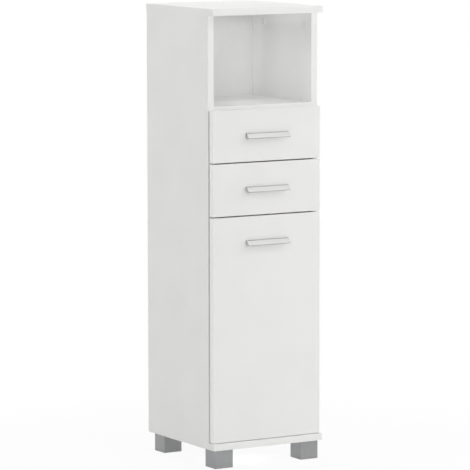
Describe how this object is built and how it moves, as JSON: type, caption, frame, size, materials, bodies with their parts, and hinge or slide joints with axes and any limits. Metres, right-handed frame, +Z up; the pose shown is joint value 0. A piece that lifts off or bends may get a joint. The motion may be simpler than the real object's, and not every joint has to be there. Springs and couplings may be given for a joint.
{
  "type": "bathroom highboard",
  "caption": "Narrow white bathroom cabinet on square feet, with an open niche above stacked drawers and a hinged door, each with a bent strip handle.",
  "frame": {"origin": "On the floor under the middle of the cabinet's box, handles included.", "axes": "+X to the right seen from the front, +Y from the front to the back, +Z up."},
  "size_m": [0.302, 0.324, 1.084],
  "materials": {
    "white_board": "white laminate on chipboard, satin",
    "white_hardboard": "white lacquered hardboard",
    "grey_plastic": "silver-grey moulded plastic",
    "white_plastic": "moulded",
    "nylon": "natural nylon",
    "handle_metal": "satin",
    "white_steel": "white powder coat on sheet steel",
    "steel": "nickel plated",
    "zinc": "die-cast zinc, matt",
    "beech": "raw fluted beech, drawn plain"
  },
  "bodies": {
    "carcass": {"top_panel": "white_board", "bottom_panel": "white_board", "left_side_panel": "white_board", "right_side_panel": "white_board", "niche_shelf": "white_board", "drawer_base_shelf": "white_board", "back_panel": "white_hardboard", "adjustable_shelf": "white_board", "shelf_pins": "steel", "cam_locks": "zinc", "cam_caps": "white_plastic", "cam_bolts": "steel", "dowels": "beech", "foot_front_left": "grey_plastic", "foot_front_right": "grey_plastic", "foot_rear_left": "grey_plastic", "foot_rear_right": "grey_plastic", "foot_screws": "steel", "upper_cabinet_runners": "white_steel", "lower_cabinet_runners": "white_steel", "front_roller_pins": "steel", "euro_screws": "steel", "hinge_plates": "steel", "hinge_arms": "steel", "hinge_arm_screws": "steel", "hinge_arm_pins": "steel"},
    "upper_drawer": {"upper_drawer_front": "white_board", "upper_drawer_left_side": "white_board", "upper_drawer_right_side": "white_board", "upper_drawer_back": "white_board", "upper_drawer_bottom": "white_hardboard", "upper_drawer_dowels": "beech", "upper_drawer_rails": "white_steel", "upper_drawer_rail_screws": "steel", "upper_drawer_roller_pins": "steel", "upper_drawer_handle": "handle_metal", "upper_drawer_handle_screws": "steel"},
    "upper_front_rollers": {"upper_front_rollers": "nylon"},
    "upper_rear_rollers": {"upper_rear_rollers": "nylon"},
    "lower_drawer": {"lower_drawer_front": "white_board", "lower_drawer_left_side": "white_board", "lower_drawer_right_side": "white_board", "lower_drawer_back": "white_board", "lower_drawer_bottom": "white_hardboard", "lower_drawer_dowels": "beech", "lower_drawer_rails": "white_steel", "lower_drawer_rail_screws": "steel", "lower_drawer_roller_pins": "steel", "lower_drawer_handle": "handle_metal", "lower_drawer_handle_screws": "steel"},
    "lower_front_rollers": {"lower_front_rollers": "nylon"},
    "lower_rear_rollers": {"lower_rear_rollers": "nylon"},
    "door": {"door_panel": "white_board", "door_handle": "handle_metal", "door_handle_screws": "steel", "hinge_cups": "steel", "cup_screws": "steel", "cup_pins": "steel"},
    "hinge_outer_links": {"hinge_outer_links": "steel"},
    "hinge_inner_links": {"hinge_inner_links": "steel"}
  },
  "joints": [
    {"name": "upper_drawer_slide", "type": "slide", "parent": "carcass", "child": "upper_drawer", "axis": [0, -1, 0], "range_m": [0, 0.185]},
    {"name": "lower_drawer_slide", "type": "slide", "parent": "carcass", "child": "lower_drawer", "axis": [0, -1, 0], "range_m": [0, 0.185]},
    {"name": "upper_front_roller_spin", "type": "hinge", "parent": "carcass", "child": "upper_front_rollers", "pos_m": [0, -0.117, 0.74755], "axis": [1, 0, 0], "range_deg": [0, 1220]},
    {"name": "upper_rear_roller_spin", "type": "hinge", "parent": "upper_drawer", "child": "upper_rear_rollers", "pos_m": [0, 0.107, 0.7465], "axis": [1, 0, 0], "range_deg": [0, 1385]},
    {"name": "lower_front_roller_spin", "type": "hinge", "parent": "carcass", "child": "lower_front_rollers", "pos_m": [0, -0.117, 0.6213], "axis": [1, 0, 0], "range_deg": [0, 1220]},
    {"name": "lower_rear_roller_spin", "type": "hinge", "parent": "lower_drawer", "child": "lower_rear_rollers", "pos_m": [0, 0.107, 0.62025], "axis": [1, 0, 0], "range_deg": [0, 1385]},
    {"name": "outer_link_swing", "type": "hinge", "parent": "carcass", "child": "hinge_outer_links", "pos_m": [0.1146, -0.1042, 0.32775], "axis": [0, 0, 1], "range_deg": [-22.1, 0]},
    {"name": "door_swing", "type": "hinge", "parent": "hinge_outer_links", "child": "door", "pos_m": [0.1384, -0.13375, 0.32775], "axis": [0, 0, 1], "range_deg": [0, 117]},
    {"name": "inner_link_swing", "type": "hinge", "parent": "carcass", "child": "hinge_inner_links", "pos_m": [0.1183, -0.136, 0.32775], "axis": [0, 0, 1], "range_deg": [-34.95, 0]}
  ],
  "couplings": [
    {"joint": "upper_front_roller_spin", "follows": "upper_drawer_slide", "rad_per_m": 114.29},
    {"joint": "upper_rear_roller_spin", "follows": "upper_drawer_slide", "rad_per_m": 129.87},
    {"joint": "lower_front_roller_spin", "follows": "lower_drawer_slide", "rad_per_m": 114.29},
    {"joint": "lower_rear_roller_spin", "follows": "lower_drawer_slide", "rad_per_m": 129.87},
    {"joint": "outer_link_swing", "follows": "door_swing", "ratio": -0.18831},
    {"joint": "inner_link_swing", "follows": "door_swing", "ratio": -0.29789}
  ]
}
